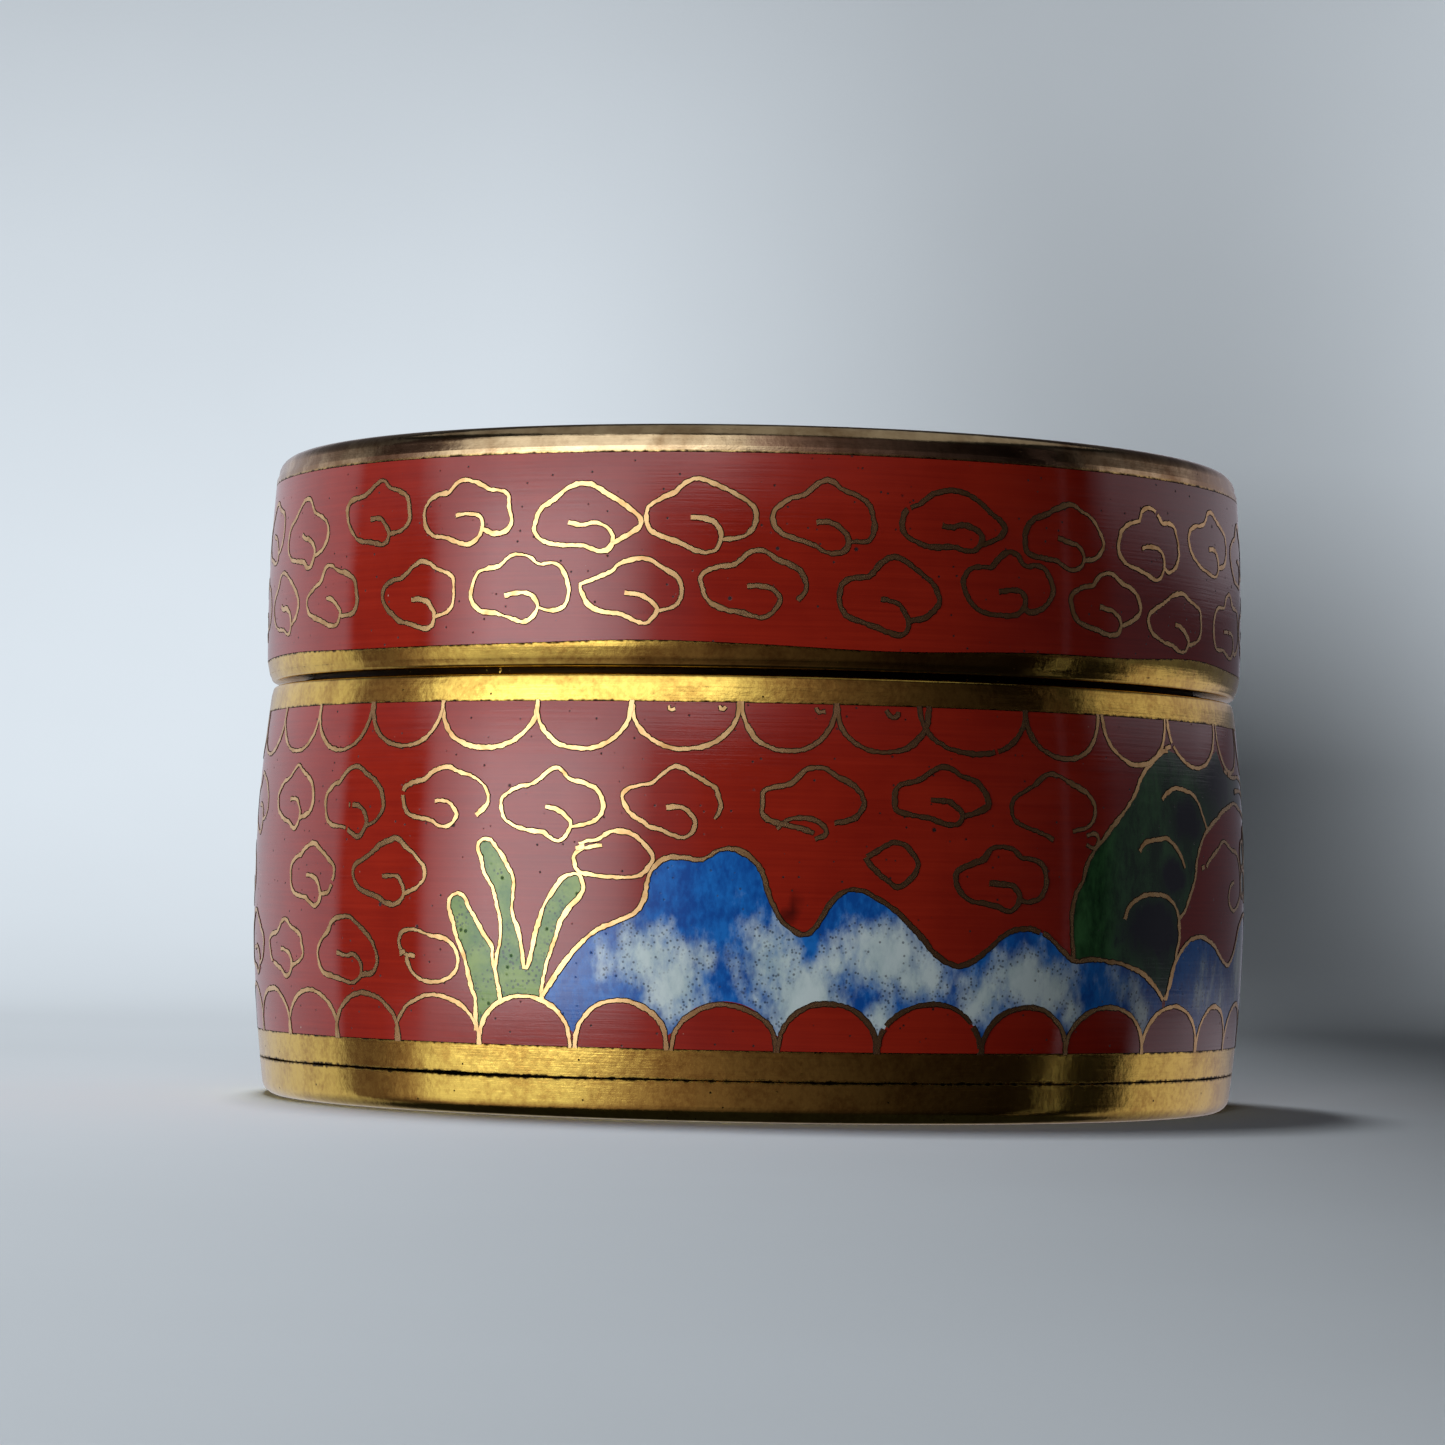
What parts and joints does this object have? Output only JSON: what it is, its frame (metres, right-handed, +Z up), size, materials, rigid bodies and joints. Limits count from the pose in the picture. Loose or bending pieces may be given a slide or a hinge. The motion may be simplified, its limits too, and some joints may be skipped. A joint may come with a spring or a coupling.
{
  "type": "cloisonne enamel box",
  "caption": "Small round box with a barrel-sided body and a lift-off lid, gilt metal with inlaid enamel in wire cells.",
  "frame": {"origin": "centre of the box's foot, on the surface that it stands on", "axes": "+Z up along the box's axis, -Y towards the picture's blue rocks (the front)"},
  "size_m": [0.058, 0.058, 0.038],
  "materials": {
    "gilt_metal": "worn gilding over brass, polished, with fine scratches",
    "red_enamel": "fired glass enamel, polished, with pinholes",
    "blue_enamel": "fired glass enamel, blue mottled with pale blue",
    "green_enamel": "fired glass enamel, dark green"
  },
  "bodies": {
    "root": {"base_plate": "gilt_metal", "body_shell": "gilt_metal", "mouth_collar": "gilt_metal", "lid_shell": "gilt_metal", "body_enamel": "red_enamel", "lid_side_enamel": "red_enamel", "lid_crown_enamel": "red_enamel", "front_rocks_enamel": "blue_enamel", "side_rocks_enamel": "blue_enamel", "back_rocks_enamel": "blue_enamel", "trunk_enamel": "green_enamel"}
  },
  "joints": []
}
